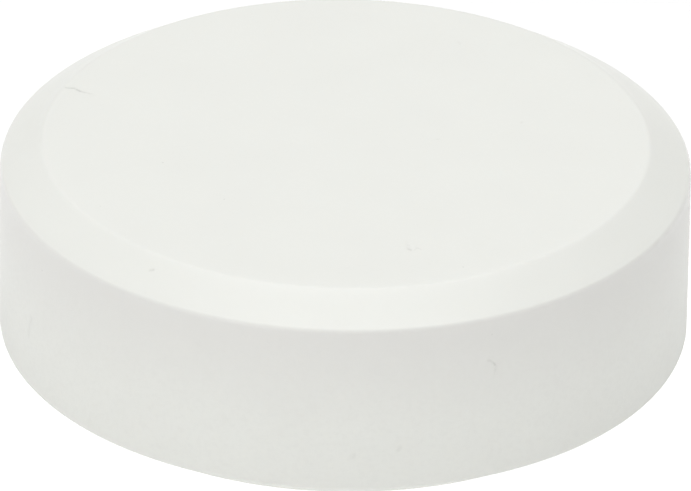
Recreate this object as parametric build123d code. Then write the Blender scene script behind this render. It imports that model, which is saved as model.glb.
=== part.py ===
from build123d import *
import os
from math import atan2, cos, radians, sin, tan

# Weighted dealer button: a plain round puck with a bevel round both faces, passed from player to
# player to mark who deals. It is a moulded cup closed from below by a flush base disc. A steel
# weight disc is clamped between them on two rubber damper rings, so that it cannot rattle.
#
# Millimetres, +Z up. The origin is the centre of the underside and Z is the puck's axis.

# Outside, the same above and below
diameter = 60.0
thickness = 20.0
bevel_width = 3.6  # radial width of each bevel
bevel_height = 2.3
rim_round = 0.6  # between the side wall and a bevel
face_round = 0.8  # between a bevel and a flat face

# Mouldings
wall = 3.0  # side wall, face and base disc alike
draft = radians(0.5)  # inside of the cup, so that it leaves its mould
cavity_round = 1.2  # inner corner of the cup
rib_width = 1.6
rib_count = 6
rib_height = 3.0  # ribs that hold the weight off the face and off the base disc
support_ring_radius = 12.8  # mean radius of the ring that ties the ribs together
wall_rib_depth = 2.5  # how far a wall rib stands in from the side wall

# Joint between cup and base disc
disc_clearance = 0.1  # radial gap, bridged by the crush ribs
crush_rib_count = 12
crush_rib_radius = 0.35
crush_rib_gap = 0.02
groove_width = 0.3  # fine V left where cup and disc meet
groove_depth = 0.25
lead_chamfer = 0.4

# Centre boss of the cup and the base disc's pin that plugs into it
boss_radius = 4.0
boss_tip_height = 6.5  # above the underside
boss_floor = 2.0  # solid left between the socket and the face's inside
pin_radius = 2.0
pin_gap = 0.02
pin_engagement = 6.5
pin_collar_radius = 3.4

# Weight and dampers
weight_thickness = 5.0
weight_clearance = 0.3  # to the wall ribs
weight_hole_clearance = 0.4  # to the boss
weight_rollover = 0.5  # rounded edge on the side the punch entered
weight_burr_chamfer = 0.2
damper_inner_radius = 6.0
damper_outer_radius = 20.0
damper_edge_round = 0.3

# Worked out from the above
outer_radius = diameter / 2
face_radius = outer_radius - bevel_width
mouth_radius = outer_radius - wall
disc_radius = mouth_radius - disc_clearance
bevel_angle = atan2(bevel_height, bevel_width)
ceiling = thickness - wall
rib_tip_upper = ceiling - rib_height
rib_tip_lower = wall + rib_height
wall_rib_radius = mouth_radius - wall_rib_depth
weight_radius = wall_rib_radius - weight_clearance
weight_hole_radius = boss_radius + weight_hole_clearance
weight_bottom = (thickness - weight_thickness) / 2
weight_top = weight_bottom + weight_thickness
edge_ring_radius = weight_radius - rib_width  # mean radius of the base disc's outer support ring

# How far shapes run past each other, so that they join or cut cleanly
overlap = 0.5  # features into the body that they join
cut_past = 1.0  # cuts beyond the surface that they open


def revolved(points, rounded=None):
    """Solid of revolution about Z. points are (radius, height); rounded maps a point to its round."""
    face = make_face(Polyline(*points, close=True))
    for point, radius in (rounded or {}).items():
        corner = face.vertices().sort_by_distance((*point, 0))[0]
        face = fillet(corner, radius)
    return revolve(Plane.XZ * face, Axis.Z)


def tube(inner, outer, bottom, top):
    """Ring of rectangular section between two radii and two heights; inner 0 gives a full disc."""
    return revolved([(inner, bottom), (outer, bottom), (outer, top), (inner, top)])


def support_ring(mean_radius, bottom, top):
    """Ring as wide as a rib, which ties the ribs together."""
    return tube(mean_radius - rib_width / 2, mean_radius + rib_width / 2, bottom, top)


def spokes(inner, outer, bottom, top):
    """Straight radial ribs, evenly spaced."""
    rib = Pos((inner + outer) / 2, 0, (bottom + top) / 2) * Box(outer - inner, rib_width, top - bottom)
    return [Rot(0, 0, 360 * i / rib_count) * rib for i in range(rib_count)]


def envelope():
    """The whole puck's outside as one solid, from which cup and base disc take their skins."""
    lower_face, lower_rim = (face_radius, 0), (outer_radius, bevel_height)
    upper_rim, upper_face = (outer_radius, thickness - bevel_height), (face_radius, thickness)
    rounds = {lower_face: face_round, lower_rim: rim_round, upper_rim: rim_round, upper_face: face_round}
    return revolved([(0, 0), lower_face, lower_rim, upper_rim, upper_face, (0, thickness)], rounds)


def seam_groove():
    """Fine V groove in the lower bevel where the base disc meets the cup."""
    along, across = (cos(bevel_angle), sin(bevel_angle)), (-sin(bevel_angle), cos(bevel_angle))
    middle = (mouth_radius - disc_clearance / 2, (mouth_radius - face_radius) * tan(bevel_angle))
    half = groove_width / 2 + disc_clearance / 2
    corners = [(-half, -groove_depth), (half, -groove_depth), (half, 0), (0, groove_depth), (-half, 0)]
    return revolved([tuple(middle[i] + u * along[i] + v * across[i] for i in (0, 1)) for u, v in corners])


def cavity():
    """Hollow of the cup: drafted wall, rounded inner corner, open below."""
    top_radius = mouth_radius - (ceiling - wall) * tan(draft)
    corner = (top_radius, ceiling)
    points = [(0, -cut_past), (mouth_radius, -cut_past), (mouth_radius, wall), corner, (0, ceiling)]
    return revolved(points, {corner: cavity_round})


def body_shell():
    """Cup: upper face, bevel, side wall and most of the lower bevel, with ribs and a socket boss."""
    root = ceiling + overlap
    reach = mouth_radius + overlap
    boss = tube(0, boss_radius, boss_tip_height, root)
    ring = support_ring(support_ring_radius, rib_tip_upper, root)
    ceiling_ribs = spokes(boss_radius / 2, reach, rib_tip_upper, root)
    wall_ribs = spokes(wall_rib_radius, reach, wall, root)
    cup = (envelope() - cavity()).fuse(boss, ring, *ceiling_ribs, *wall_ribs)
    socket_mouth = pin_radius + lead_chamfer
    socket = revolved(
        [
            (0, boss_tip_height - cut_past),
            (socket_mouth, boss_tip_height - cut_past),
            (socket_mouth, boss_tip_height),
            (pin_radius, boss_tip_height + lead_chamfer),
            (pin_radius, ceiling - boss_floor),
            (0, ceiling - boss_floor),
        ]
    )
    return cup - socket - seam_groove()


def base_disc():
    """Flush closing disc: lower face and the inner edge of its bevel, crush ribs, support ribs and pin."""
    plug = revolved(
        [
            (0, 0),
            (disc_radius, 0),
            (disc_radius, wall - lead_chamfer),
            (disc_radius - lead_chamfer, wall),
            (0, wall),
        ]
    )
    disc = (envelope() & plug) - seam_groove()
    crush_reach = mouth_radius - crush_rib_gap - crush_rib_radius
    crush_bottom = (mouth_radius - face_radius) * tan(bevel_angle) + groove_depth + crush_rib_radius
    crush_height = wall - lead_chamfer - crush_bottom
    crush_middle = crush_bottom + crush_height / 2
    crush_rib = Pos(crush_reach, 0, crush_middle) * Cylinder(crush_rib_radius, crush_height)
    turns = [360 * (i + 0.5) / crush_rib_count for i in range(crush_rib_count)]
    crush_ribs = [Rot(0, 0, turn) * crush_rib for turn in turns]
    root = wall - overlap
    ribs = spokes(pin_radius / 2, edge_ring_radius, root, rib_tip_lower)
    rings = [support_ring(radius, root, rib_tip_lower) for radius in (support_ring_radius, edge_ring_radius)]
    collar = tube(0, pin_collar_radius, root, rib_tip_lower)
    pin_side = pin_radius - pin_gap
    pin_top = boss_tip_height + pin_engagement
    pin = revolved(
        [
            (0, root),
            (pin_side, root),
            (pin_side, pin_top - lead_chamfer),
            (pin_side - lead_chamfer, pin_top),
            (0, pin_top),
        ]
    )
    return disc.fuse(*crush_ribs, *ribs, *rings, collar, pin)


def weight_disc():
    """Blanked steel disc with a centre hole, rounded by the punch above and burred below."""
    inner, outer = weight_hole_radius, weight_radius
    chamfer = weight_burr_chamfer
    points = [
        (inner + chamfer, weight_bottom),
        (outer - chamfer, weight_bottom),
        (outer, weight_bottom + chamfer),
        (outer, weight_top),
        (inner, weight_top),
        (inner, weight_bottom + chamfer),
    ]
    return revolved(points, {(outer, weight_top): weight_rollover, (inner, weight_top): weight_rollover})


def damper_ring(bottom, top):
    """Flat rubber ring, squeezed between the weight and a set of rib tips."""
    inner, outer = damper_inner_radius, damper_outer_radius
    corners = [(inner, bottom), (outer, bottom), (outer, top), (inner, top)]
    return revolved(corners, {corner: damper_edge_round for corner in corners})


os.makedirs("parts", exist_ok=True)
parts = {
    "body_shell": body_shell(),
    "base_disc": base_disc(),
    "weight_disc": weight_disc(),
    "damper_ring_upper": damper_ring(weight_top, rib_tip_upper),
    "damper_ring_lower": damper_ring(rib_tip_lower, weight_bottom),
}
for name, solid in parts.items():
    export_step(solid, f"parts/{name}.step")
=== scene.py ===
from math import atan2, ceil, cos, hypot, pi, radians, sin, tan

import bmesh
import bpy
import numpy as np
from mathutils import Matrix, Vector


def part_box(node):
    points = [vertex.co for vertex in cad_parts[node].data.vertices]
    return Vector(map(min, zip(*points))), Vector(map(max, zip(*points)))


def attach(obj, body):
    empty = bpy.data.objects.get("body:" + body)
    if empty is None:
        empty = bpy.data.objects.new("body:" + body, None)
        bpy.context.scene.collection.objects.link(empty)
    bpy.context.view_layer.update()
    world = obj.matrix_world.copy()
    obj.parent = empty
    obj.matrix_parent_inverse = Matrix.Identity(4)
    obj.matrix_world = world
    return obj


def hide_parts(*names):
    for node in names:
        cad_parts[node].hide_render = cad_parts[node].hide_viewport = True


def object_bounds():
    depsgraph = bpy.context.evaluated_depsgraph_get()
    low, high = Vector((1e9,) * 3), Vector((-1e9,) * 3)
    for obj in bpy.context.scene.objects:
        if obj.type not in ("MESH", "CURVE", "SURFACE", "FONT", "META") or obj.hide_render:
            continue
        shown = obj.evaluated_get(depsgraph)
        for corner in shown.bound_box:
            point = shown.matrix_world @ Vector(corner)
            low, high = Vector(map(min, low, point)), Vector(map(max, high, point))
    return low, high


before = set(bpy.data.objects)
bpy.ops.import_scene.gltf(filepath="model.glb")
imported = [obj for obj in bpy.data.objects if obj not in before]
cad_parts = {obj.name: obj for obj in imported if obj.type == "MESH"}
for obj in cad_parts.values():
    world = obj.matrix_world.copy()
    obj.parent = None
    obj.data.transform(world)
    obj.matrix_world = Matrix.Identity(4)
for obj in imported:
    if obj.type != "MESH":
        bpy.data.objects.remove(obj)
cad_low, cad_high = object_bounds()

# Looks for the weighted dealer button: a white moulded cup, the base disc that closes it from
# below, the steel weight inside and the two rubber rings that it is clamped between.
# Every length is in metres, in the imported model's frame: +Z up, the puck's axis on Z.

MM = 0.001

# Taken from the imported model
outer_radius = cad_high.x
underside, upper_face = cad_low.z, cad_high.z
disc_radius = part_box("base_disc")[1].x
pin_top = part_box("base_disc")[1].z
weight_bottom, weight_top = (corner.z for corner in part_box("weight_disc"))
weight_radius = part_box("weight_disc")[1].x
damper_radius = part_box("damper_ring_upper")[1].x
upper_damper_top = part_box("damper_ring_upper")[1].z
lower_damper_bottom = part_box("damper_ring_lower")[0].z

# Outside of the puck
bevel_width = 3.6 * MM
bevel_height = 2.3 * MM
rim_round = 0.6 * MM
face_round = 0.8 * MM
lip_round = 0.18 * MM  # on both edges of the seam between cup and base disc

# Mouldings
wall = 3.0 * MM
cavity_round = 1.2 * MM
foot_round = 0.45 * MM  # where ribs and rings rise from a wall
tip_round = 0.25 * MM  # on the free edges of ribs and rings
draft = radians(0.5)
rib_half_width = 0.8 * MM
rib_count = 6
wall_rib_depth = 2.5 * MM
support_ring_radius = 12.8 * MM
boss_radius = 4.0 * MM
boss_tip_drop = 6.5 * MM  # how far the pin reaches past the boss's tip
socket_radius = 2.0 * MM
socket_gap = 0.02 * MM
socket_clearance = 2.0 * MM  # from the pin's end to the socket's
lead = 0.4 * MM
collar_radius = 3.4 * MM
crush_rib_count = 12
crush_rib_radius = 0.35 * MM
crush_rib_gap = 0.02 * MM
edge_ring_inset = 1.6 * MM  # from the weight's edge in to the base disc's outer ring

# Inner pieces
weight_hole_radius = 4.4 * MM
weight_rollover = 0.5 * MM
weight_burr = 0.2 * MM
damper_hole_radius = 6.0 * MM
damper_edge_round = 0.35 * MM
swell = 0.14 * MM  # how far a squeezed edge barrels out
swell_reach = 3 * damper_edge_round  # in from an edge, to where the swell has died away
crown = 0.8 * swell  # how far the face lifts between two ribs
print_sharpness = 4  # how steeply it rises beside a rib's print
face_level = 0.95  # a point beyond this share of the half thickness lies on a face

# Worked out from the above
mouth_radius = outer_radius - wall
ceiling = upper_face - wall
face_edge = outer_radius - bevel_width
bevel_slope = bevel_height / bevel_width
seam_height = (disc_radius - face_edge) * bevel_slope
ceiling_radius = mouth_radius - (ceiling - wall) * tan(draft)
boss_tip = pin_top - boss_tip_drop
socket_end = pin_top + socket_clearance
edge_ring_radius = weight_radius - edge_ring_inset

# Mesh density
turns_outside = 384  # steps round the axis of a moulding
turns_inside = 360  # steps round the axis of an inner piece
bead_steps = 24  # round the section of a crush rib
arc_step = radians(7)
fewest_arc_steps = 3
longest_step = 1.6 * MM
crease_angle = radians(32)


# ---------------------------------------------------------------- outlines and solids


def turned(x, y, angle):
    """A point turned round the origin."""
    return x * cos(angle) - y * sin(angle), x * sin(angle) + y * cos(angle)


def rounded_outline(corners):
    """Points along straight stretches and arcs.

    A corner is (radius, height), or (radius, height, round)."""
    points = []
    count = len(corners)
    for i, corner in enumerate(corners):
        here = Vector(corner[:2])
        radius = corner[2] if len(corner) > 2 else 0
        if radius == 0:
            points.append(here)
            continue
        back = (Vector(corners[i - 1][:2]) - here).normalized()
        ahead = (Vector(corners[(i + 1) % count][:2]) - here).normalized()
        half_angle = back.angle(ahead) / 2
        centre = here + (back + ahead).normalized() * radius / sin(half_angle)
        start = here + back * radius / tan(half_angle) - centre
        end = here + ahead * radius / tan(half_angle) - centre
        sweep = pi - 2 * half_angle
        side = 1 if start.x * end.y - start.y * end.x > 0 else -1
        steps = max(fewest_arc_steps, ceil(sweep / arc_step))
        for k in range(steps + 1):
            spoke = turned(start.x, start.y, side * sweep * k / steps)
            points.append(centre + Vector(spoke))
    return points


def subdivided(points, closed):
    """The same outline, with no straight stretch longer than the longest step."""
    result = []
    ends = points[1:] + ([points[0]] if closed else [])
    for start, end in zip(points, ends):
        pieces = max(1, ceil((end - start).length / longest_step))
        result += [start.lerp(end, k / pieces) for k in range(pieces)]
    return result if closed else result + [points[-1]]


def new_object(name, data):
    """Object in the scene that holds a mesh, a light or a camera."""
    obj = bpy.data.objects.new(name, data)
    bpy.context.scene.collection.objects.link(obj)
    return obj


def built(name, vertices, faces):
    """Object from vertices and faces, with every face turned to look outwards."""
    mesh = bpy.data.meshes.new(name)
    mesh.from_pydata(vertices, [], faces)
    shape = bmesh.new()
    shape.from_mesh(mesh)
    bmesh.ops.recalc_face_normals(shape, faces=shape.faces)
    shape.to_mesh(mesh)
    shape.free()
    return new_object(name, mesh)


def lathe(name, corners, turns, closed=False):
    """Solid of revolution.

    An open outline starts and ends on the axis; a closed one goes round a ring's section."""
    outline = subdivided(rounded_outline(corners), closed)
    rings = outline if closed else outline[1:-1]
    vertices = []
    for point in rings:
        for k in range(turns):
            vertices.append((*turned(point.x, 0, 2 * pi * k / turns), point.y))
    faces = []
    for i in range(len(rings) if closed else len(rings) - 1):
        below, above = i * turns, (i + 1) % len(rings) * turns
        for k in range(turns):
            ahead = (k + 1) % turns
            faces.append((below + k, below + ahead, above + ahead, above + k))
    if not closed:
        last = (len(rings) - 1) * turns
        for point, ring in ((outline[0], 0), (outline[-1], last)):
            pole = len(vertices)
            vertices.append((0, 0, point.y))
            faces += [(pole, ring + k, ring + (k + 1) % turns) for k in range(turns)]
    return built(name, vertices, faces)


def rib_section(height):
    """Section of a moulded rib that stands up by height: rounded tip, drafted sides, flared foot."""
    foot = rib_half_width + height * tan(draft)
    flare, buried = foot + 2 * foot_round, -foot_round
    half = [
        (flare, buried),
        (flare, 0),
        (foot, 0, foot_round),
        (rib_half_width, height, tip_round),
    ]
    mirrored = [(-corner[0], *corner[1:]) for corner in reversed(half)]
    return rounded_outline(half + mirrored)


def bars_round_axis(section, place, start, end, count, first=0.0):
    """Straight bars, evenly spaced round the axis, as one object.

    place(across, up, along) gives the position of a section's point on a bar that lies at turn 0, and
    start and end are the bar's two values of along. first is the first bar's turn."""
    corners = len(section)
    vertices, faces = [], []
    for k in range(count):
        angle = first + 2 * pi * k / count
        base = len(vertices)
        for along in (start, end):
            for point in section:
                x, y, z = place(point.x, point.y, along)
                vertices.append((*turned(x, y, angle), z))
        near = [base + i for i in range(corners)]
        far = [base + corners + i for i in range(corners)]
        faces += [(near[i - 1], near[i], far[i], far[i - 1]) for i in range(corners)]
        faces += [tuple(near), tuple(far)]
    return built("bars", vertices, faces)


def join(target, tool):
    """Makes one solid of the target and the tool, and deletes the tool."""
    modifier = target.modifiers.new("join", "BOOLEAN")
    modifier.operation = "UNION"
    modifier.solver = "MANIFOLD"
    modifier.object = tool
    depsgraph = bpy.context.evaluated_depsgraph_get()
    joined = bpy.data.meshes.new_from_object(target.evaluated_get(depsgraph))
    target.modifiers.clear()
    separate = target.data
    target.data = joined
    bpy.data.meshes.remove(separate)
    bpy.data.objects.remove(tool)


def smooth(obj):
    """Smooth shading, with a hard edge wherever two faces meet at more than the crease angle."""
    obj.data.shade_smooth()
    obj.data.set_sharp_from_angle(angle=crease_angle)


# ---------------------------------------------------------------- the pieces


def body_shell():
    """The cup: upper face, bevels and side wall, with ribs, tie ring and socket boss inside."""
    ring_in, ring_out = support_ring_radius - rib_half_width, support_ring_radius + rib_half_width
    lip_height = (mouth_radius - face_edge) * bevel_slope
    outside = [
        (0, upper_face),
        (face_edge, upper_face, face_round),
        (outer_radius, upper_face - bevel_height, rim_round),
        (outer_radius, underside + bevel_height, rim_round),
        (mouth_radius, underside + lip_height, lip_round),
    ]
    inside = [
        (mouth_radius, wall),
        (ceiling_radius, ceiling, cavity_round),
        (ring_out, ceiling, foot_round),
        (ring_out, upper_damper_top, tip_round),
        (ring_in, upper_damper_top, tip_round),
        (ring_in, ceiling, foot_round),
        (boss_radius, ceiling, foot_round),
        (boss_radius, boss_tip, tip_round),
        (socket_radius + lead, boss_tip),
        (socket_radius, boss_tip + lead),
        (socket_radius, socket_end),
        (0, socket_end),
    ]
    cup = lathe("body_shell_moulding", outside + inside, turns_outside)
    hanging = rib_section(ceiling - upper_damper_top)
    rib_start = boss_radius - foot_round

    def on_ceiling(across, up, along):
        return along, across, ceiling - up

    def on_wall(across, up, along):
        return mouth_radius - up, across, along

    join(cup, bars_round_axis(hanging, on_ceiling, rib_start, mouth_radius, rib_count))
    standing = rib_section(wall_rib_depth)
    join(cup, bars_round_axis(standing, on_wall, wall, ceiling + foot_round, rib_count))
    return cup


def base_disc():
    """Closing disc: lower face and the inner edge of its bevel, crush ribs, support ribs, rings and pin."""
    rib_tip = lower_damper_bottom
    pin_radius = socket_radius - socket_gap
    ring_in, ring_out = support_ring_radius - rib_half_width, support_ring_radius + rib_half_width
    edge_in, edge_out = edge_ring_radius - rib_half_width, edge_ring_radius + rib_half_width
    corners = [
        (0, underside),
        (face_edge, underside, face_round),
        (disc_radius, underside + seam_height, lip_round),
        (disc_radius, wall - lead),
        (disc_radius - lead, wall),
        (edge_out, wall, foot_round),
        (edge_out, rib_tip, tip_round),
        (edge_in, rib_tip, tip_round),
        (edge_in, wall, foot_round),
        (ring_out, wall, foot_round),
        (ring_out, rib_tip, tip_round),
        (ring_in, rib_tip, tip_round),
        (ring_in, wall, foot_round),
        (collar_radius, wall, foot_round),
        (collar_radius, rib_tip, tip_round),
        (pin_radius, rib_tip),
        (pin_radius, pin_top - lead),
        (pin_radius - lead, pin_top),
        (0, pin_top),
    ]
    disc = lathe("base_disc_moulding", corners, turns_outside)
    standing = rib_section(rib_tip - wall)
    rib_start = collar_radius - foot_round

    def on_floor(across, up, along):
        return along, across, wall + up

    join(disc, bars_round_axis(standing, on_floor, rib_start, edge_ring_radius, rib_count))
    crush_top = wall - lead
    crush_bottom = seam_height + lip_round + crush_rib_radius
    crush_centre = mouth_radius - crush_rib_gap - crush_rib_radius
    angles = [2 * pi * k / bead_steps for k in range(bead_steps)]
    bead = [Vector(turned(crush_rib_radius, 0, angle)) for angle in angles]

    def on_edge(across, up, along):
        return crush_centre + across, up, along

    half_pitch = pi / crush_rib_count
    join(disc, bars_round_axis(bead, on_edge, crush_bottom, crush_top, crush_rib_count, half_pitch))
    return disc


def weight():
    """Blanked steel disc: rolled edge where the punch entered, sharp burr side below."""
    corners = [
        (weight_hole_radius + weight_burr, weight_bottom),
        (weight_radius - weight_burr, weight_bottom),
        (weight_radius, weight_bottom + weight_burr),
        (weight_radius, weight_top, weight_rollover),
        (weight_hole_radius, weight_top, weight_rollover),
        (weight_hole_radius, weight_bottom + weight_burr),
    ]
    return lathe("weight_disc_steel", corners, turns_inside, closed=True)


def eased(share):
    """A share from 0 to 1 that starts and ends gently."""
    return share**2 * (3 - 2 * share)


def damper(name, bottom, top, rib_side):
    """Rubber ring squeezed by the ribs above it (rib_side 1) or below it (-1).

    Its edges barrel out, and its face lifts between the ribs."""
    corners = [
        (damper_hole_radius, bottom, damper_edge_round),
        (damper_radius, bottom, damper_edge_round),
        (damper_radius, top, damper_edge_round),
        (damper_hole_radius, top, damper_edge_round),
    ]
    ring = lathe(name, corners, turns_inside, closed=True)
    middle, half = (bottom + top) / 2, (top - bottom) / 2
    for vertex in ring.data.vertices:
        x, y, z = vertex.co
        radius = hypot(x, y)
        level = (z - middle) / half
        is_outer = radius > (damper_hole_radius + damper_radius) / 2
        edge, outwards = (damper_radius, 1) if is_outer else (damper_hole_radius, -1)
        near_edge = max(0, 1 - abs(radius - edge) / swell_reach)
        bulge = swell * (1 - level**2) * near_edge * outwards
        off_rib = abs(sin(atan2(y, x) * rib_count / 2)) * radius / damper_radius
        lift = crown * eased(min(1, print_sharpness * off_rib)) * (1 - near_edge)
        if level * rib_side <= face_level:
            lift = 0
        scale = (radius + bulge) / radius
        vertex.co = (x * scale, y * scale, z + rib_side * lift)
    return ring


# ---------------------------------------------------------------- small marks of use

# Each mark is a short line on the surface: points as (radius in mm, turn in degrees, height in mm),
# then its width and depth in mm, and how dark it has become.
MARKS = [
    ([(26.1, 160.0, 20.0), (25.4, 159.6, 20.0), (24.7, 160.4, 20.0)], 0.2, 0.02, 0.3),
    ([(27.7, 233.4, 19.1), (27.6, 233.9, 19.2)], 0.2, 0.02, 0.2),
    ([(20.1, 285.8, 20.0), (20.3, 286.2, 20.0)], 0.2, 0.02, 0.2),
    ([(20.4, 287.2, 20.0), (20.1, 288.0, 20.0), (20.4, 288.6, 20.0)], 0.14, 0.01, 0.1),
    ([(15.7, 14.1, 20.0), (15.8, 14.6, 20.0)], 0.2, 0.01, 0.1),
    ([(20.8, 61.7, 20.0), (20.9, 62.2, 20.0)], 0.22, 0.01, 0.1),
    ([(7.9, 3.4, 20.0), (8.1, 4.2, 20.0)], 0.2, 0.01, 0.08),
    ([(30.0, 294.4, 13.7), (30.0, 295.3, 13.5), (30.0, 296.0, 12.9)], 0.18, 0.025, 0.16),
    ([(30.0, 271.8, 5.5), (30.0, 272.1, 5.7)], 0.3, 0.01, 0.1),
    ([(30.0, 279.4, 6.0), (30.0, 279.7, 6.3)], 0.3, 0.01, 0.09),
    ([(30.0, 206.4, 9.3), (30.0, 205.2, 7.4)], 0.4, 0.01, 0.07),
]

# Section of a mark, in its widths and depths
mark_reach = 3.0
dent_width = 0.5
lip_place = 1.1
lip_width = 0.4
lip_height = 0.25
grime_width = 0.6

# Passes that cut the mesh finer: cuts in each edge, and a margin of half an edge round a mark
refining = [(3, longest_step / 2), (3, longest_step / 8)]
rubbed_and_highlight_reach = 0.35 * MM  # from an outer edge, for its smoother polish and its painted highlight


def mark_points(points):
    """A mark's line in space."""
    return [Vector((r * MM * cos(radians(t)), r * MM * sin(radians(t)), z * MM)) for r, t, z in points]


def distance_to_line(places, line):
    """Distance of every place, an array of rows, from a line of short straight stretches."""
    nearest = np.full(len(places), np.inf)
    for start, end in zip(line, line[1:]):
        start, along = np.array(start), np.array(end - start)
        share = np.clip((places - start) @ along / (along @ along), 0, 1)
        nearest = np.minimum(nearest, np.linalg.norm(places - start - share[:, None] * along, axis=1))
    return nearest


def places_of(mesh):
    """Positions of a mesh's vertices, as an array of rows."""
    places = np.zeros(len(mesh.vertices) * 3)
    mesh.vertices.foreach_get("co", places)
    return places.reshape(-1, 3)


def hump(where, middle, width):
    """A smooth rise to 1 at the middle."""
    return np.exp(-(((where - middle) / width) ** 2))


def refine(obj):
    """Cuts the mesh finer round each mark."""
    for cuts, margin in refining:
        places = places_of(obj.data)
        near = np.zeros(len(places), bool)
        for points, width, _, _ in MARKS:
            near |= distance_to_line(places, mark_points(points)) < mark_reach * width * MM + margin
        ends = np.zeros(len(obj.data.edges) * 2, int)
        obj.data.edges.foreach_get("vertices", ends)
        chosen = np.nonzero(near[ends].reshape(-1, 2).all(axis=1))[0]
        shape = bmesh.new()
        shape.from_mesh(obj.data)
        shape.edges.ensure_lookup_table()
        edges = [shape.edges[index] for index in chosen]
        bmesh.ops.subdivide_edges(shape, edges=edges, cuts=cuts, use_grid_fill=True)
        shape.to_mesh(obj.data)
        shape.free()


def press_marks(obj):
    """Presses each mark in, with a slightly raised lip."""
    places = places_of(obj.data)
    normals = np.zeros(places.size)
    obj.data.vertices.foreach_get("normal", normals)
    push = np.zeros(len(places))
    for points, width, depth, _ in MARKS:
        share = distance_to_line(places, mark_points(points)) / (width * MM)
        press = lip_height * hump(share, lip_place, lip_width) - hump(share, 0, dent_width)
        push += np.where(share < mark_reach, depth * MM * press, 0)
    places += normals.reshape(-1, 3) * push[:, None]
    obj.data.vertices.foreach_set("co", places.ravel())
    obj.data.update()


def paint(obj, name, values):
    """Stores a value on every vertex for the material to read."""
    attribute = obj.data.attributes.new(name, "FLOAT", "POINT")
    attribute.data.foreach_set("value", values.astype(np.float32))


def paint_wear_and_highlight(obj):
    """Stores where a moulding is grubby from its marks, and where its outer edges are rubbed smooth and get
    a painted highlight.
    """
    places = places_of(obj.data)
    grime = np.zeros(len(places))
    for points, width, _, dark in MARKS:
        share = distance_to_line(places, mark_points(points)) / (width * MM)
        grime = np.maximum(grime, dark * hump(share, 0, grime_width))
    paint(obj, "grime", grime)
    # Outer edges: rubbed smoother, and also painted lighter as a highlight
    radius = np.hypot(places[:, 0], places[:, 1])
    rubbed_and_highlight = np.zeros(len(places))
    for edge_radius, inset in ((face_edge, 0), (outer_radius, bevel_height)):
        for level in (underside + inset, upper_face - inset):
            away = np.hypot(radius - edge_radius, places[:, 2] - level)
            rubbed_and_highlight = np.maximum(rubbed_and_highlight, hump(away, 0, rubbed_and_highlight_reach))
    paint(obj, "rubbed_and_highlight", rubbed_and_highlight)


# ---------------------------------------------------------------- materials

# Colours
warm_white, shaded_white = (0.85, 0.858, 0.815, 1), (0.815, 0.82, 0.78, 1)
# Painted shade for the side wall under the rim, and a lighter painted highlight for the rubbed outer edges
rim_shade_white, rubbed_highlight_white = (0.805, 0.8, 0.77, 1), (0.88, 0.885, 0.86, 1)
dirt = (0.16, 0.15, 0.12, 1)
dark_zinc, light_zinc = (0.5, 0.51, 0.52, 1), (0.66, 0.67, 0.68, 1)
bright_crystal, zinc_stain = (0.74, 0.75, 0.77, 1), (0.3, 0.28, 0.25, 1)
black_rubber, bloomed_rubber = (0.03, 0.03, 0.032, 1), (0.085, 0.083, 0.08, 1)
talc = (0.4, 0.4, 0.38, 1)
floor_colour = (0.94, 0.94, 0.94, 1)
pure_white = (1, 1, 1, 1)

# White plastic: sizes of its blotches and grain, depths of its relief
cloud_size, cloud_depth = 7 * MM, 0.01 * MM
mottle_size, mottle_depth = 0.5 * MM, 0.009 * MM
grain_size, grain_depth = 0.14 * MM, 0.015 * MM
scuff_size, crossing_size, scuff_depth = 0.25 * MM, 0.3 * MM, -0.002 * MM
patch_size = 0.35 * MM  # parts of a mark that took dirt
speck_spacing = 2.6 * MM
rim_shade_low = 8.0 * MM  # height from which the side wall is painted a little darker towards the rim, as painted shade under the rim
rubbed_and_highlight_effect = 0.12  # on the colour, where it is a painted highlight, and on the roughness alike
scuff_roughness = 0.1
plastic_ior = 1.5
scatter_share, scatter_depth = 0.08, 0.8 * MM
scatter_by_colour = (1.0, 0.9, 0.8)

# Plated steel
streak_size, streak_depth = 0.2 * MM, 0.008 * MM
crystal_size, crystal_depth = 1.8 * MM, 0.001 * MM
stain_size, stain_depth = 9 * MM, 0.02 * MM

# Rubber
rubber_grain_size, rubber_grain_depth = 0.22 * MM, 0.03 * MM
bloom_size, bloom_depth = 5 * MM, 0.04 * MM
dust_size = 0.08 * MM


def feed(tree, socket, value):
    """Gives a node's input a value, or links it to another node's output."""
    if isinstance(value, bpy.types.NodeSocket):
        tree.links.new(value, socket)
    else:
        socket.default_value = value


def node(tree, kind, inputs=None, **settings):
    """One shader node; inputs are values or the outputs that feed them."""
    made = tree.nodes.new("ShaderNode" + kind)
    for key, value in settings.items():
        setattr(made, key, value)
    for key, value in (inputs or {}).items():
        feed(tree, made.inputs[key], value)
    return made


def maths(tree, operation, first, second=0.0):
    """Result of one sum; first and second are values or outputs."""
    return node(tree, "Math", {0: first, 1: second}, operation=operation).outputs[0]


def remap(tree, value, low, high, to_low=0.0, to_high=1.0):
    """Value between low and high, carried over to another range and held inside it."""
    inputs = {"Value": value, "From Min": low, "From Max": high, "To Min": to_low, "To Max": to_high}
    return node(tree, "MapRange", inputs).outputs["Result"]


def tint(tree, factor, first, second):
    """Mix of two colours, by way of the Mix node's colour sockets."""
    mixer = node(tree, "Mix", data_type="RGBA")
    feed(tree, mixer.inputs[0], factor)
    feed(tree, mixer.inputs[6], first)
    feed(tree, mixer.inputs[7], second)
    return mixer.outputs[2]


def noise(tree, where, size, detail=2.0, roughness=0.5):
    """Soft noise from 0 to 1 whose blotches are about size across."""
    inputs = {"Vector": where, "Scale": 1 / size, "Detail": detail, "Roughness": roughness}
    return node(tree, "TexNoise", inputs).outputs["Fac"]


def stretched(tree, where, x, y, z):
    """Coordinates scaled by a factor on each axis."""
    return node(tree, "Mapping", {"Vector": where, "Scale": (x, y, z)}).outputs["Vector"]


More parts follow.
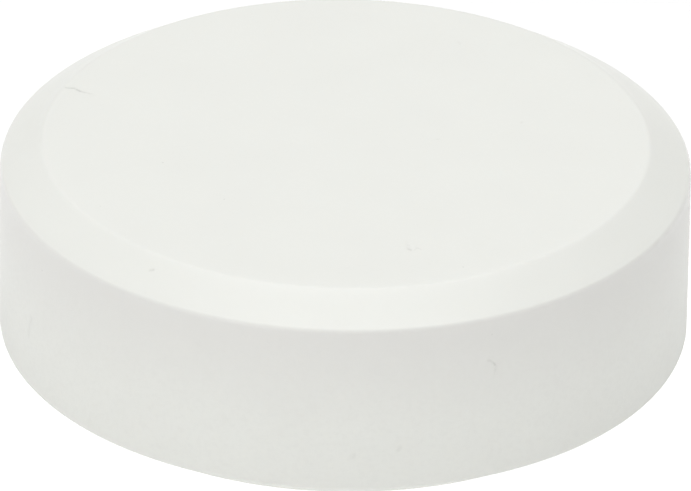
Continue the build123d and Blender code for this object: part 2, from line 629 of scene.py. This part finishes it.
def new_material(name):
    """Material with one Principled shader; returns it with its tree, shader and object coordinates."""
    material = bpy.data.materials.new(name)
    material.use_nodes = True
    tree = material.node_tree
    tree.nodes.clear()
    shader = node(tree, "BsdfPrincipled")
    output = node(tree, "OutputMaterial")
    tree.links.new(shader.outputs["BSDF"], output.inputs["Surface"])
    where = node(tree, "TexCoord").outputs["Object"]
    return material, tree, shader, where


def relief(tree, layers):
    """Stacks bumps: each layer is a height from 0 to 1 and its depth in metres."""
    normal = None
    for height, depth in layers:
        inputs = {"Height": height, "Distance": depth, "Strength": 1.0}
        if normal is not None:
            inputs["Normal"] = normal
        normal = node(tree, "Bump", inputs).outputs["Normal"]
    return normal


def painted(tree, name):
    """A value that is stored on the vertices."""
    return node(tree, "Attribute", attribute_name=name).outputs["Fac"]


def side_share(tree):
    """1 on the side wall, 0 on the faces and part of the way between them on a bevel."""
    normal = node(tree, "NewGeometry").outputs["True Normal"]
    upright = maths(tree, "ABSOLUTE", node(tree, "SeparateXYZ", {0: normal}).outputs["Z"])
    return remap(tree, upright, 0.3, 0.8, 1.0, 0.0)


def specks(tree, where):
    """Strength of rare dark specks: a dot in a few of the cells."""
    cells = node(tree, "TexVoronoi", {"Vector": where, "Scale": 1 / speck_spacing}).outputs
    chosen = remap(tree, node(tree, "SeparateColor", {0: cells["Color"]}).outputs[0], 0.86, 0.9)
    dots = remap(tree, cells["Distance"], 0.02, 0.045, 0.35, 0.0)
    return maths(tree, "MULTIPLY", dots, chosen)


def scuffs(tree, where, clouding):
    """Fine scuffs in two directions, each only where the clouding is strong enough."""
    lengthwise = noise(tree, stretched(tree, where, 1.0, 0.08, 1.0), scuff_size, detail=4, roughness=0.7)
    crosswise = noise(tree, stretched(tree, where, 0.1, 0.9, 1.0), crossing_size, detail=4, roughness=0.7)
    first = maths(tree, "MULTIPLY", remap(tree, lengthwise, 0.62, 0.72), remap(tree, clouding, 0.45, 0.6))
    second = maths(tree, "MULTIPLY", remap(tree, crosswise, 0.64, 0.74), remap(tree, clouding, 0.3, 0.5))
    return maths(tree, "MAXIMUM", first, second)


def plastic_colour(tree, where, sides, clouding, mottle):
    """Warm white: clouded, with painted shade on the side wall under the rim, speckled, grimy in its marks,
    and a painted highlight on its rubbed outer edges.
    """
    colour = tint(tree, remap(tree, clouding, 0.35, 0.7, 0.0, 0.25), warm_white, shaded_white)
    mottled = maths(tree, "MULTIPLY", remap(tree, mottle, 0.45, 0.7), remap(tree, sides, 0, 1, 0.1, 0.5))
    colour = tint(tree, mottled, colour, shaded_white)
    # Painted shade: the side wall is drawn darker towards the rim
    height = node(tree, "SeparateXYZ", {0: where}).outputs["Z"]
    rim_shade_mask = remap(tree, height, rim_shade_low, upper_face - bevel_height)
    colour = tint(tree, maths(tree, "MULTIPLY", rim_shade_mask, sides), colour, rim_shade_white)
    colour = tint(tree, specks(tree, where), colour, dirt)
    patchy = remap(tree, noise(tree, where, patch_size, detail=3), 0.35, 0.6, 0.25, 1.0)
    colour = tint(tree, maths(tree, "MULTIPLY", painted(tree, "grime"), patchy), colour, dirt)
    # Painted highlight: the rubbed outer edges are drawn lighter
    rubbed_and_highlight = maths(tree, "MULTIPLY", painted(tree, "rubbed_and_highlight"), rubbed_and_highlight_effect)
    return tint(tree, rubbed_and_highlight, colour, rubbed_highlight_white)


def moulded_plastic():
    """Warm white satin moulding, grained more on the sides than on the faces, smoother on rubbed edges."""
    material, tree, shader, where = new_material("white_moulded_plastic")
    sides = side_share(tree)
    clouding = noise(tree, where, cloud_size, detail=3)
    mottle = noise(tree, where, mottle_size, detail=3, roughness=0.6)
    grain = noise(tree, where, grain_size, detail=2)
    worn = scuffs(tree, where, clouding)
    roughness = remap(tree, mottle, 0.3, 0.7, 0.42, 0.52)
    polish = maths(tree, "MULTIPLY", painted(tree, "rubbed_and_highlight"), rubbed_and_highlight_effect)
    roughness = maths(tree, "SUBTRACT", roughness, polish)
    roughness = maths(tree, "ADD", roughness, maths(tree, "MULTIPLY", worn, scuff_roughness))
    coarseness = remap(tree, sides, 0, 1, 0.2, 1.0)
    pebble = maths(tree, "MULTIPLY", grain, coarseness)
    dimpled = maths(tree, "MULTIPLY", mottle, coarseness)
    layers = [(pebble, grain_depth), (dimpled, mottle_depth), (worn, scuff_depth), (clouding, cloud_depth)]
    feed(tree, shader.inputs["Base Color"], plastic_colour(tree, where, sides, clouding, mottle))
    feed(tree, shader.inputs["Roughness"], roughness)
    feed(tree, shader.inputs["Normal"], relief(tree, layers))
    feed(tree, shader.inputs["IOR"], plastic_ior)
    feed(tree, shader.inputs["Subsurface Weight"], scatter_share)
    feed(tree, shader.inputs["Subsurface Radius"], scatter_by_colour)
    feed(tree, shader.inputs["Subsurface Scale"], scatter_depth)
    return material


def plated_steel():
    """Dull zinc plate over rolled steel: streaks along the strip, spangle, a few darker stains."""
    material, tree, shader, where = new_material("plated_steel")
    streaks = noise(tree, stretched(tree, where, 0.03, 1.0, 1.0), streak_size, detail=5, roughness=0.65)
    spangle = node(tree, "TexVoronoi", {"Vector": where, "Scale": 1 / crystal_size}).outputs["Color"]
    crystal = node(tree, "SeparateColor", {0: spangle}).outputs[0]
    stain = noise(tree, where, stain_size, detail=5, roughness=0.65)
    colour = tint(tree, remap(tree, streaks, 0.3, 0.7), dark_zinc, light_zinc)
    colour = tint(tree, remap(tree, crystal, 0, 1, 0.0, 0.25), colour, bright_crystal)
    colour = tint(tree, remap(tree, stain, 0.55, 0.75, 0.0, 0.6), colour, zinc_stain)
    roughness = remap(tree, streaks, 0.3, 0.7, 0.28, 0.46)
    roughness = maths(tree, "ADD", roughness, remap(tree, stain, 0.55, 0.75, 0.0, 0.2))
    layers = [(streaks, streak_depth), (crystal, crystal_depth), (stain, stain_depth)]
    feed(tree, shader.inputs["Base Color"], colour)
    feed(tree, shader.inputs["Metallic"], 1.0)
    feed(tree, shader.inputs["Roughness"], roughness)
    feed(tree, shader.inputs["Normal"], relief(tree, layers))
    return material


def sheet_rubber():
    """Matt black sheet rubber: fine grain, pale bloom and specks of talc."""
    material, tree, shader, where = new_material("damper_rubber")
    grain = noise(tree, where, rubber_grain_size, detail=3, roughness=0.6)
    bloom = noise(tree, where, bloom_size, detail=4, roughness=0.6)
    dust = noise(tree, where, dust_size, detail=1)
    colour = tint(tree, remap(tree, bloom, 0.45, 0.75, 0.0, 0.7), black_rubber, bloomed_rubber)
    colour = tint(tree, remap(tree, dust, 0.68, 0.76, 0.0, 0.5), colour, talc)
    feed(tree, shader.inputs["Base Color"], colour)
    feed(tree, shader.inputs["Roughness"], remap(tree, bloom, 0.3, 0.7, 0.72, 0.9))
    layers = [(grain, rubber_grain_depth), (bloom, bloom_depth)]
    feed(tree, shader.inputs["Normal"], relief(tree, layers))
    return material


# ---------------------------------------------------------------- floor, light and camera

floor_size = 6.0
floor_gap = 0.02 * MM  # below the underside
floor_roughness = 0.9

# The floor's own light, which changes with the distance from the puck's axis
glow_beside = 0.058  # at the puck's edge
glow_reach = 0.07  # distance at which it has faded away
glow_beneath = 0.25  # under the puck, so that a view from below shows the underside
lift_beside, lift_beyond = 0.4, 0.08  # more light for the camera alone, at the puck's edge and far out
lift_reach = 0.036  # distance at which the second is reached
lift_mirrored = 0.35  # more light for reflections alone
mirrored_from, mirrored_full = 0.034, 0.046  # distances between which it grows to its full strength

tent_left, tent_right = 0.52, 0.475  # brightness of the surroundings on either side
tent_seen = 1.0  # brightness that the camera sees

# Softboxes, all at one distance: name, turn and elevation in degrees, width in metres, power in watts
softbox_distance = 1.5
SOFTBOXES = [
    ("overhead", 270, 88, 1.4, 12.75),
    ("low_front_left", 240, 12, 0.6, 2.4),
    ("high_back", 90, 45, 0.9, 1.4),
]


def floor_glow(tree, where, rays):
    """Strength of the floor's own light, which depends on what kind of ray meets it."""
    away = node(tree, "VectorMath", {0: where}, operation="LENGTH").outputs["Value"]
    beside = remap(tree, away, outer_radius, glow_reach, glow_beside, 0.0)
    beneath = remap(tree, away, outer_radius - rim_round, outer_radius, glow_beneath, 0.0)
    lift = remap(tree, away, outer_radius, lift_reach, lift_beside, lift_beyond)
    mirrored = remap(tree, away, mirrored_from, mirrored_full, 0.0, lift_mirrored)
    glow = maths(tree, "ADD", beside, beneath)
    glow = maths(tree, "ADD", glow, maths(tree, "MULTIPLY", lift, rays["Is Camera Ray"]))
    return maths(tree, "ADD", glow, maths(tree, "MULTIPLY", mirrored, rays["Is Glossy Ray"]))


def floor_material():
    """Matt white that glows faintly and that a camera underneath sees through."""
    material, tree, shader, where = new_material("floor_white")
    rays = node(tree, "LightPath").outputs
    feed(tree, shader.inputs["Base Color"], floor_colour)
    feed(tree, shader.inputs["Roughness"], floor_roughness)
    feed(tree, shader.inputs["Specular IOR Level"], 0.0)
    feed(tree, shader.inputs["Emission Color"], pure_white)
    feed(tree, shader.inputs["Emission Strength"], floor_glow(tree, where, rays))
    underneath = node(tree, "NewGeometry").outputs["Backfacing"]
    from_below = maths(tree, "MULTIPLY", rays["Is Camera Ray"], underneath)
    clear = node(tree, "BsdfTransparent")
    mixer = node(tree, "MixShader", {0: from_below, 1: shader.outputs[0], 2: clear.outputs[0]})
    tree.links.new(mixer.outputs[0], tree.nodes["Material Output"].inputs["Surface"])
    material.cycles.emission_sampling = "NONE"  # so large a glowing face is badly sampled as a lamp
    return material


def floor():
    """Plain pale table under the puck."""
    half, level = floor_size / 2, underside - floor_gap
    mesh = bpy.data.meshes.new("floor")
    corners = [(-half, -half, level), (half, -half, level), (half, half, level), (-half, half, level)]
    mesh.from_pydata(corners, [], [(0, 1, 2, 3)])
    mesh.materials.append(floor_material())
    new_object("floor", mesh)


def tent():
    """Soft white surroundings, a little brighter on the left."""
    world = bpy.data.worlds.new("tent")
    world.use_nodes = True
    tree = world.node_tree
    tree.nodes.clear()
    direction = node(tree, "TexCoord").outputs["Generated"]
    sideways = node(tree, "SeparateXYZ", {0: direction}).outputs["X"]
    strength = remap(tree, sideways, -1.0, 1.0, tent_left, tent_right)
    background = node(tree, "Background", {"Color": pure_white, "Strength": strength})
    seen = node(tree, "Background", {"Color": pure_white, "Strength": tent_seen})
    camera_ray = node(tree, "LightPath").outputs["Is Camera Ray"]
    mixer = node(tree, "MixShader", {0: camera_ray, 1: background.outputs[0], 2: seen.outputs[0]})
    tree.links.new(mixer.outputs[0], node(tree, "OutputWorld").inputs["Surface"])
    bpy.context.scene.world = world


def softboxes():
    """Square area lights that look at the object; the camera doesn't see them."""
    for name, turn, elevation, width, power in SOFTBOXES:
        data = bpy.data.lights.new(name, "AREA")
        data.size = width
        data.energy = power
        lamp = new_object(name, data)
        x, y = turned(cos(radians(elevation)), 0, radians(turn))
        away = Vector((x, y, sin(radians(elevation))))
        lamp.location = away * softbox_distance
        lamp.rotation_euler = away.to_track_quat("Z", "Y").to_euler()
        lamp.visible_camera = False


# The view: a long lens, a little tilted, with the puck filling the picture's width
view_elevation = radians(28.75)
view_distance = 1.2
view_roll = radians(0.92)
view_end = 100.0
sensor_width = 36.0  # millimetres, as the camera counts them
width_share = 0.997  # of the picture's width, taken up by the puck's diameter
shift_right = 0.0016  # the puck's centre lies this share of the width left of the middle
shift_down = 0.0054  # and this share of the width above it


def camera():
    """Camera at the viewing angle, aimed at the middle of the puck."""
    data = bpy.data.cameras.new("camera")
    data.sensor_width = sensor_width
    data.lens = sensor_width * width_share * view_distance / (2 * outer_radius)
    data.shift_x = shift_right
    data.shift_y = -shift_down
    data.clip_end = view_end
    eye = new_object("camera", data)
    middle = Vector((0, 0, (underside + upper_face) / 2))
    back = Vector((0, -cos(view_elevation), sin(view_elevation)))
    eye.location = middle + back * view_distance
    eye.rotation_euler = (pi / 2 - view_elevation, 0, 0)
    eye.rotation_euler.rotate_axis("Z", view_roll)
    bpy.context.scene.camera = eye


# ---------------------------------------------------------------- assembly


def finish_piece(obj, node_name, material):
    """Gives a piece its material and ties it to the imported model."""
    obj.data.materials.clear()
    obj.data.materials.append(material)
    smooth(obj)
    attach(obj, "root")
    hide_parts(node_name)


plastic = moulded_plastic()
steel = plated_steel()
rubber = sheet_rubber()
shell = body_shell()
refine(shell)
press_marks(shell)
closing_disc = base_disc()
for moulding in (shell, closing_disc):
    paint_wear_and_highlight(moulding)
finish_piece(shell, "body_shell", plastic)
finish_piece(closing_disc, "base_disc", plastic)
finish_piece(weight(), "weight_disc", steel)
upper_ring = damper("damper_ring_upper_rubber", weight_top, upper_damper_top, 1)
lower_ring = damper("damper_ring_lower_rubber", lower_damper_bottom, weight_bottom, -1)
finish_piece(upper_ring, "damper_ring_upper", rubber)
finish_piece(lower_ring, "damper_ring_lower", rubber)

floor()
tent()
softboxes()
camera()
bpy.context.scene.view_settings.view_transform = "Standard"
